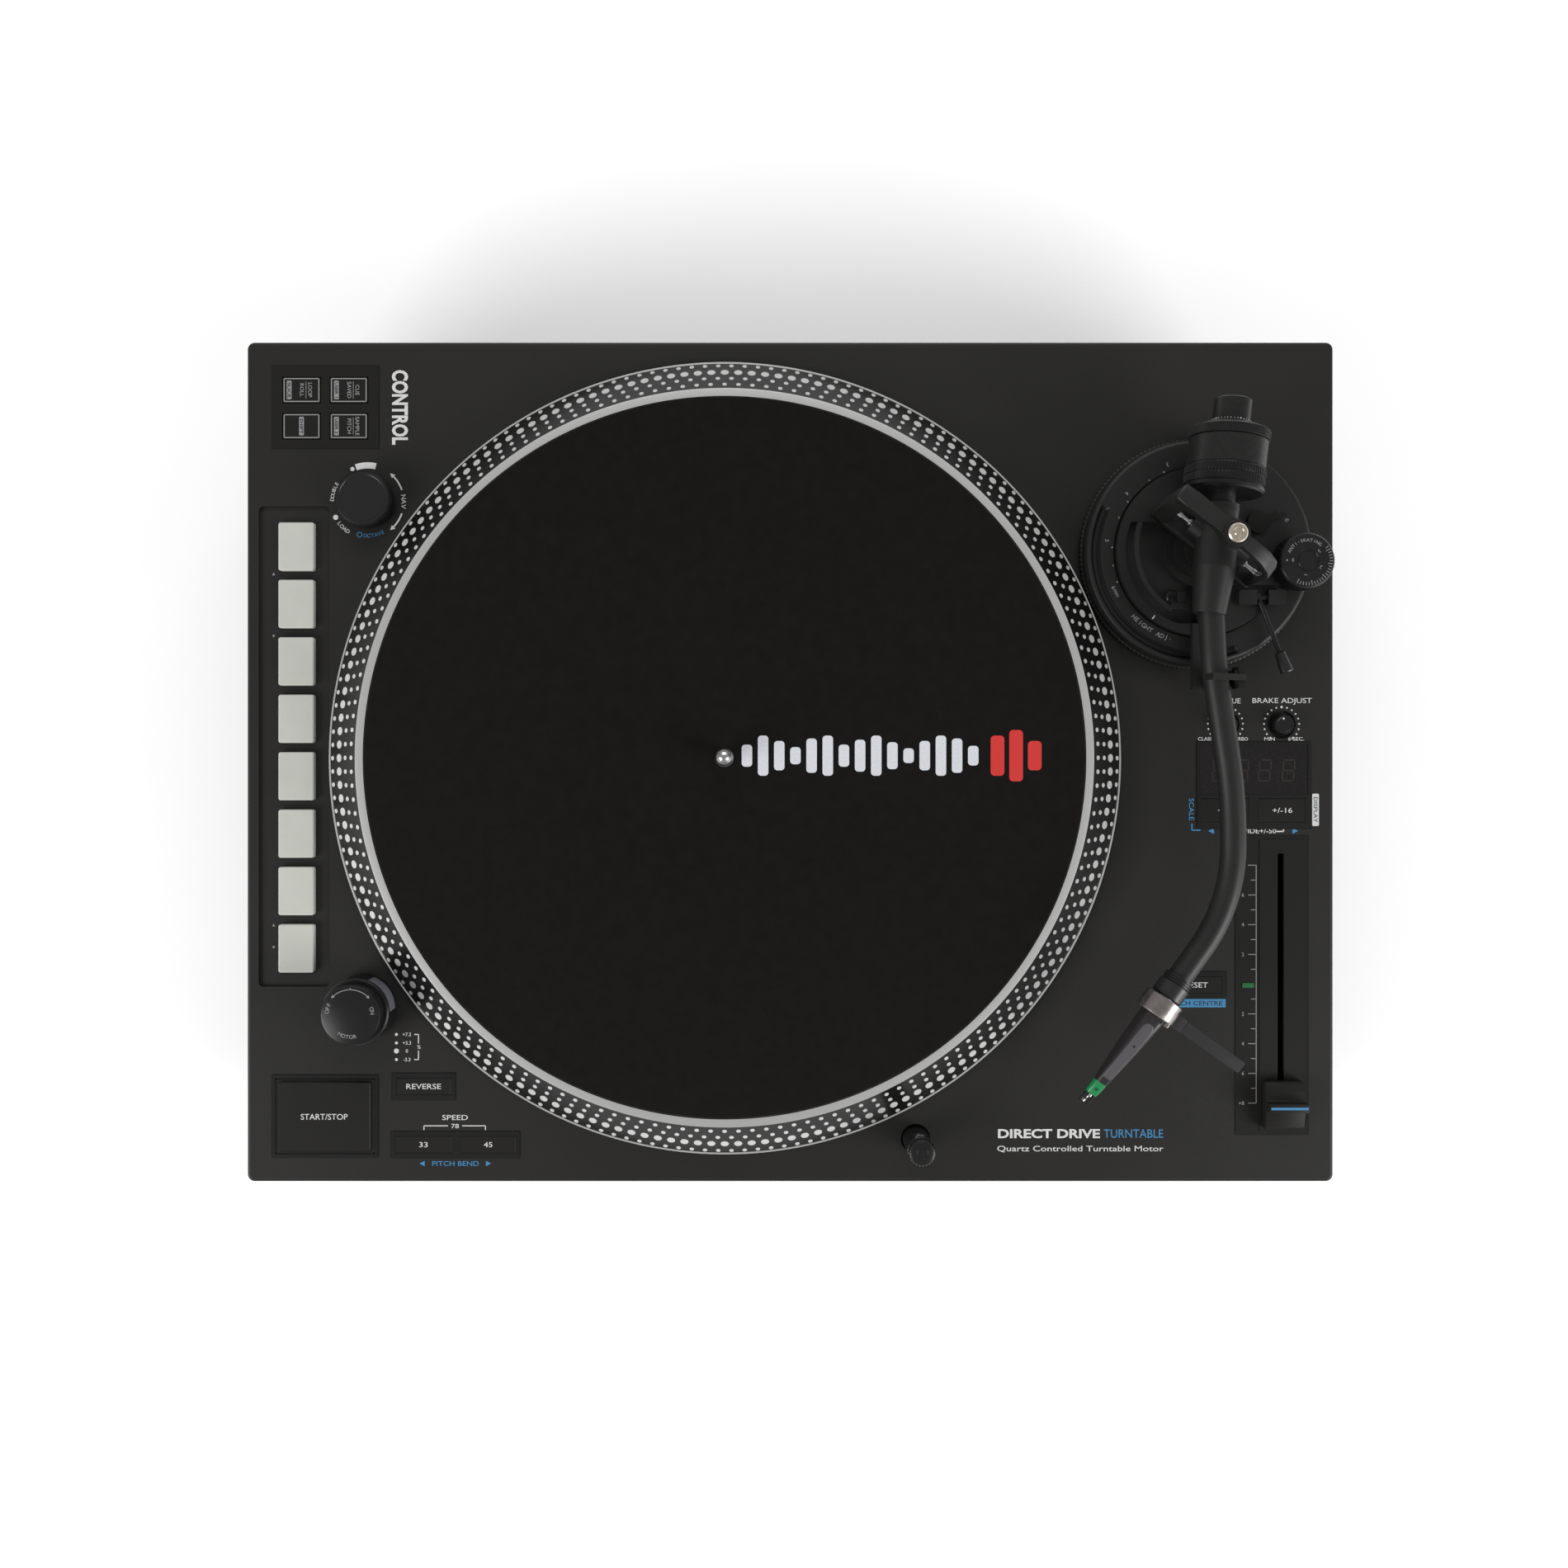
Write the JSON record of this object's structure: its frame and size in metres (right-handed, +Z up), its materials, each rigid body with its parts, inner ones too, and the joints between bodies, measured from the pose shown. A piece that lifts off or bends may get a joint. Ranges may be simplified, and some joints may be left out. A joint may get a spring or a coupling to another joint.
{
  "type": "turntable record player",
  "caption": "Direct-drive record player with S-shaped tonearm, felt-covered platter, strobe turret, trigger pads, push buttons, knobs and a long pitch fader on a rectangular plinth.",
  "frame": {"origin": "under the middle of the plinth, on the surface the feet stand on", "axes": "+X towards the tonearm side, +Y towards the sockets at the back, +Z up"},
  "size_m": [0.458, 0.354, 0.144],
  "materials": {
    "deck_black": "matte",
    "shell_black": "matte",
    "cover_black": "satin",
    "steel": "satin",
    "board_green": "satin",
    "frame_black": "satin",
    "window_smoke": "gloss",
    "panel_black": "matte",
    "motor_metal": "satin",
    "lens_lilac": "satin",
    "platter_alu": "satin",
    "magnet_dark": "matte",
    "felt_black": "matte",
    "button_black": "satin",
    "pad_grey": "matte",
    "knob_black": "satin",
    "foot_rubber": "matte",
    "arm_black": "satin",
    "weight_black": "satin",
    "cartridge_black": "satin",
    "stylus_green": "satin",
    "lift_metal": "satin"
  },
  "bodies": {
    "chassis": {"top_plate": "deck_black", "base_shell": "shell_black", "bottom_cover": "cover_black", "case_screws": "steel", "circuit_boards": "board_green", "button_frames": "frame_black", "display_window": "window_smoke", "fader_plate": "panel_black", "motor_stator": "motor_metal", "strobe_tower": "knob_black", "strobe_lens": "lens_lilac", "rear_sockets": "shell_black"},
    "platter": {"platter": "platter_alu", "rotor_magnet": "magnet_dark", "spindle": "steel"},
    "slipmat": {"slipmat": "felt_black"},
    "start_stop_button": {"start_stop_button": "button_black"},
    "reverse_button": {"reverse_button": "button_black"},
    "speed_33_button": {"speed_33_button": "button_black"},
    "speed_45_button": {"speed_45_button": "button_black"},
    "reset_button": {"reset_button": "button_black"},
    "scale_8_button": {"scale_8_button": "button_black"},
    "scale_16_button": {"scale_16_button": "button_black"},
    "mode_button_1": {"mode_button_1": "button_black"},
    "mode_button_2": {"mode_button_2": "button_black"},
    "mode_button_3": {"mode_button_3": "button_black"},
    "mode_button_4": {"mode_button_4": "button_black"},
    "pad_1": {"pad_1": "pad_grey"},
    "pad_2": {"pad_2": "pad_grey"},
    "pad_3": {"pad_3": "pad_grey"},
    "pad_4": {"pad_4": "pad_grey"},
    "pad_5": {"pad_5": "pad_grey"},
    "pad_6": {"pad_6": "pad_grey"},
    "pad_7": {"pad_7": "pad_grey"},
    "pad_8": {"pad_8": "pad_grey"},
    "pitch_fader": {"pitch_fader": "button_black"},
    "encoder_knob": {"encoder_knob": "knob_black"},
    "torque_knob": {"torque_knob": "button_black"},
    "brake_knob": {"brake_knob": "button_black"},
    "motor_knob": {"motor_knob": "knob_black"},
    "target_lamp": {"target_lamp": "knob_black"},
    "foot_front_left": {"foot_front_left": "foot_rubber"},
    "foot_front_right": {"foot_front_right": "foot_rubber"},
    "foot_back_left": {"foot_back_left": "foot_rubber"},
    "foot_back_right": {"foot_back_right": "foot_rubber"},
    "height_ring": {"height_ring": "arm_black"},
    "arm_base": {"arm_base": "arm_black"},
    "anti_skate_dial": {"anti_skate_dial": "knob_black"},
    "height_lock_knob": {"height_lock_knob": "button_black"},
    "cue_lever": {"cue_lever": "lift_metal"},
    "cue_lifter": {"cue_lifter": "lift_metal"},
    "arm_clip": {"arm_clip": "button_black"},
    "gimbal_yoke": {"gimbal_yoke": "arm_black"},
    "tonearm": {"tonearm_tube": "arm_black", "cartridge": "cartridge_black", "stylus": "stylus_green", "finger_lift": "lift_metal"},
    "weight_dial": {"weight_dial": "arm_black"},
    "counterweight": {"counterweight": "weight_black"},
    "lock_collar": {"lock_collar": "arm_black"}
  },
  "joints": [
    {"name": "height_turn", "type": "hinge", "parent": "chassis", "child": "height_ring", "pos_m": [0.1695, 0.087, 0.088], "axis": [0, 0, 1], "range_deg": [-180, 0]},
    {"name": "arm_base_rise", "type": "slide", "parent": "chassis", "child": "arm_base", "axis": [0, 0, 1], "range_m": [0, 0.00601]},
    {"name": "arm_yaw", "type": "hinge", "parent": "arm_base", "child": "gimbal_yoke", "pos_m": [0.1695, 0.087, 0.119], "axis": [0, 0, 1], "range_deg": [-42, 0]},
    {"name": "arm_pitch", "type": "hinge", "parent": "gimbal_yoke", "child": "tonearm", "pos_m": [0.1695, 0.087, 0.119], "axis": [-0.788, 0.6157, 0], "range_deg": [0, 4.5]},
    {"name": "weight_travel", "type": "slide", "parent": "tonearm", "child": "weight_dial", "axis": [0.1132, 0.9936, 0], "range_m": [-0.0035, 0.006]},
    {"name": "weight_spin", "type": "hinge", "parent": "weight_dial", "child": "counterweight", "pos_m": [0.1695, 0.087, 0.119], "axis": [0.1132, 0.9936, 0], "range_deg": [-632, 1083]},
    {"name": "collar_turn", "type": "hinge", "parent": "tonearm", "child": "lock_collar", "pos_m": [0.1531, -0.0887, 0.119], "axis": [-0.5807, -0.8141, 0], "range_deg": [0, 90]},
    {"name": "anti_skate_turn", "type": "hinge", "parent": "arm_base", "child": "anti_skate_dial", "pos_m": [0.2085, 0.0813, 0.108], "axis": [0, 0, 1], "range_deg": [-215, 0]},
    {"name": "height_lock_turn", "type": "hinge", "parent": "arm_base", "child": "height_lock_knob", "pos_m": [0.1924, 0.0986, 0.1], "axis": [0, 0, 1], "range_deg": [0, 60]},
    {"name": "cue_swing", "type": "hinge", "parent": "arm_base", "child": "cue_lever", "pos_m": [0.1923, 0.0674, 0.1018], "axis": [-1, 0, 0], "range_deg": [0, 32.1]},
    {"name": "lifter_rise", "type": "slide", "parent": "arm_base", "child": "cue_lifter", "axis": [0, 0, 1], "range_m": [0, 0.0034]},
    {"name": "clip_swing", "type": "hinge", "parent": "arm_base", "child": "arm_clip", "pos_m": [0.1772, 0.033, 0.1186], "axis": [0, 1, 0], "range_deg": [-24, 95]},
    {"name": "pitch_slide", "type": "slide", "parent": "chassis", "child": "pitch_fader", "axis": [0, 1, 0], "range_m": [0, 0.1]},
    {"name": "lamp_slide", "type": "slide", "parent": "chassis", "child": "target_lamp", "axis": [0, 0, 1], "range_m": [-0.02, 0], "stiffness_N_per_m": 40, "springref_m": 0.015},
    {"name": "motor_turn", "type": "hinge", "parent": "chassis", "child": "motor_knob", "pos_m": [-0.1796, -0.1032, 0.088], "axis": [0, 0, 1], "range_deg": [-60, 0]},
    {"name": "encoder_turn", "type": "hinge", "parent": "chassis", "child": "encoder_knob", "pos_m": [-0.178, 0.1096, 0.088], "axis": [0, 0, 1], "continuous": true},
    {"name": "torque_turn", "type": "hinge", "parent": "chassis", "child": "torque_knob", "pos_m": [0.1833, 0.0158, 0.088], "axis": [0, 0, 1], "range_deg": [-140, 140]},
    {"name": "brake_turn", "type": "hinge", "parent": "chassis", "child": "brake_knob", "pos_m": [0.207, 0.0157, 0.088], "axis": [0, 0, 1], "range_deg": [-140, 140]},
    {"name": "platter_spin", "type": "hinge", "parent": "chassis", "child": "platter", "pos_m": [-0.0275, 0.0015, 0.088], "axis": [0, 0, 1], "continuous": true},
    {"name": "slipmat_slip", "type": "hinge", "parent": "platter", "child": "slipmat", "pos_m": [-0.0275, 0.0015, 0.1065], "axis": [0, 0, 1], "continuous": true},
    {"name": "start_stop_press", "type": "slide", "parent": "chassis", "child": "start_stop_button", "axis": [0, 0, 1], "range_m": [-0.0015, 0], "stiffness_N_per_m": 300, "springref_m": 0.002},
    {"name": "reverse_press", "type": "slide", "parent": "chassis", "child": "reverse_button", "axis": [0, 0, 1], "range_m": [-0.0015, 0], "stiffness_N_per_m": 300, "springref_m": 0.002},
    {"name": "speed_33_press", "type": "slide", "parent": "chassis", "child": "speed_33_button", "axis": [0, 0, 1], "range_m": [-0.0015, 0], "stiffness_N_per_m": 300, "springref_m": 0.002},
    {"name": "speed_45_press", "type": "slide", "parent": "chassis", "child": "speed_45_button", "axis": [0, 0, 1], "range_m": [-0.0015, 0], "stiffness_N_per_m": 300, "springref_m": 0.002},
    {"name": "reset_press", "type": "slide", "parent": "chassis", "child": "reset_button", "axis": [0, 0, 1], "range_m": [-0.0015, 0], "stiffness_N_per_m": 300, "springref_m": 0.002},
    {"name": "scale_8_press", "type": "slide", "parent": "chassis", "child": "scale_8_button", "axis": [0, 0, 1], "range_m": [-0.0015, 0], "stiffness_N_per_m": 300, "springref_m": 0.002},
    {"name": "scale_16_press", "type": "slide", "parent": "chassis", "child": "scale_16_button", "axis": [0, 0, 1], "range_m": [-0.0015, 0], "stiffness_N_per_m": 300, "springref_m": 0.002},
    {"name": "mode_1_press", "type": "slide", "parent": "chassis", "child": "mode_button_1", "axis": [0, 0, 1], "range_m": [-0.0015, 0], "stiffness_N_per_m": 300, "springref_m": 0.002},
    {"name": "mode_2_press", "type": "slide", "parent": "chassis", "child": "mode_button_2", "axis": [0, 0, 1], "range_m": [-0.0015, 0], "stiffness_N_per_m": 300, "springref_m": 0.002},
    {"name": "mode_3_press", "type": "slide", "parent": "chassis", "child": "mode_button_3", "axis": [0, 0, 1], "range_m": [-0.0015, 0], "stiffness_N_per_m": 300, "springref_m": 0.002},
    {"name": "mode_4_press", "type": "slide", "parent": "chassis", "child": "mode_button_4", "axis": [0, 0, 1], "range_m": [-0.0015, 0], "stiffness_N_per_m": 300, "springref_m": 0.002},
    {"name": "pad_1_press", "type": "slide", "parent": "chassis", "child": "pad_1", "axis": [0, 0, 1], "range_m": [-0.0015, 0], "stiffness_N_per_m": 300, "springref_m": 0.002},
    {"name": "pad_2_press", "type": "slide", "parent": "chassis", "child": "pad_2", "axis": [0, 0, 1], "range_m": [-0.0015, 0], "stiffness_N_per_m": 300, "springref_m": 0.002},
    {"name": "pad_3_press", "type": "slide", "parent": "chassis", "child": "pad_3", "axis": [0, 0, 1], "range_m": [-0.0015, 0], "stiffness_N_per_m": 300, "springref_m": 0.002},
    {"name": "pad_4_press", "type": "slide", "parent": "chassis", "child": "pad_4", "axis": [0, 0, 1], "range_m": [-0.0015, 0], "stiffness_N_per_m": 300, "springref_m": 0.002},
    {"name": "pad_5_press", "type": "slide", "parent": "chassis", "child": "pad_5", "axis": [0, 0, 1], "range_m": [-0.0015, 0], "stiffness_N_per_m": 300, "springref_m": 0.002},
    {"name": "pad_6_press", "type": "slide", "parent": "chassis", "child": "pad_6", "axis": [0, 0, 1], "range_m": [-0.0015, 0], "stiffness_N_per_m": 300, "springref_m": 0.002},
    {"name": "pad_7_press", "type": "slide", "parent": "chassis", "child": "pad_7", "axis": [0, 0, 1], "range_m": [-0.0015, 0], "stiffness_N_per_m": 300, "springref_m": 0.002},
    {"name": "pad_8_press", "type": "slide", "parent": "chassis", "child": "pad_8", "axis": [0, 0, 1], "range_m": [-0.0015, 0], "stiffness_N_per_m": 300, "springref_m": 0.002},
    {"name": "foot_front_left_turn", "type": "hinge", "parent": "chassis", "child": "foot_front_left", "pos_m": [-0.188, -0.136, 0], "axis": [0, 0, 1], "continuous": true},
    {"name": "foot_front_right_turn", "type": "hinge", "parent": "chassis", "child": "foot_front_right", "pos_m": [0.188, -0.136, 0], "axis": [0, 0, 1], "continuous": true},
    {"name": "foot_back_left_turn", "type": "hinge", "parent": "chassis", "child": "foot_back_left", "pos_m": [-0.188, 0.136, 0], "axis": [0, 0, 1], "continuous": true},
    {"name": "foot_back_right_turn", "type": "hinge", "parent": "chassis", "child": "foot_back_right", "pos_m": [0.188, 0.136, 0], "axis": [0, 0, 1], "continuous": true}
  ],
  "couplings": [
    {"joint": "arm_base_rise", "follows": "height_turn", "m_per_rad": -0.0019099},
    {"joint": "cue_swing", "follows": "lifter_rise", "rad_per_m": 164.27},
    {"joint": "weight_spin", "follows": "weight_travel", "rad_per_m": 3141.6}
  ]
}
